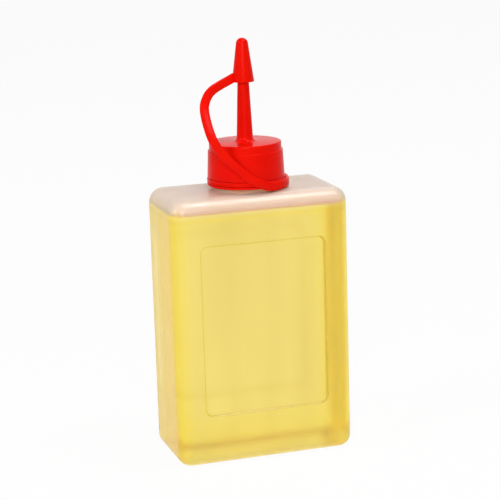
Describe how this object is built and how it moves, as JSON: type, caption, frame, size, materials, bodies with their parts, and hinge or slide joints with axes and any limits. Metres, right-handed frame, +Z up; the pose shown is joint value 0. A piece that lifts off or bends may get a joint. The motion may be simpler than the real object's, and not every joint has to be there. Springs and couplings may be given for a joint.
{
  "type": "machine oil bottle",
  "caption": "Flat see-through oil bottle with sunk panels, a screw cap with a long tapered spout, and a small tip cap on a strap.",
  "frame": {"origin": "middle of the base, on the plane that the bottle stands on", "axes": "+Z up along the neck and the spout, +X to the right along the wide side, -Y out of the front panel"},
  "size_m": [0.054, 0.029, 0.1233],
  "materials": {
    "bottle_plastic": "blown see-through plastic, slightly milky",
    "oil": "clear pale yellow oil",
    "cap_plastic": "glossy moulded plastic",
    "washer_foam": "matt foamed plastic"
  },
  "bodies": {
    "bottle": {"bottle": "bottle_plastic", "oil": "oil"},
    "washer": {"sealing_washer": "washer_foam"},
    "screw_cap": {"spout_cap": "cap_plastic", "tether": "cap_plastic"},
    "tip": {"tip_cap": "cap_plastic"}
  },
  "joints": [
    {"name": "cap_lift", "type": "slide", "parent": "bottle", "child": "washer", "axis": [0, 0, 1], "range_m": [0, 0.00636]},
    {"name": "cap_turn", "type": "hinge", "parent": "washer", "child": "screw_cap", "pos_m": [0, 0, 0.0918], "axis": [0, 0, 1], "range_deg": [0, 720]},
    {"name": "tip_lift", "type": "slide", "parent": "screw_cap", "child": "tip", "axis": [0, 0, 1], "range_m": [0, 0.014], "deforming": ["tether"]}
  ],
  "couplings": [
    {"joint": "cap_lift", "follows": "cap_turn", "m_per_rad": 0.000505}
  ]
}
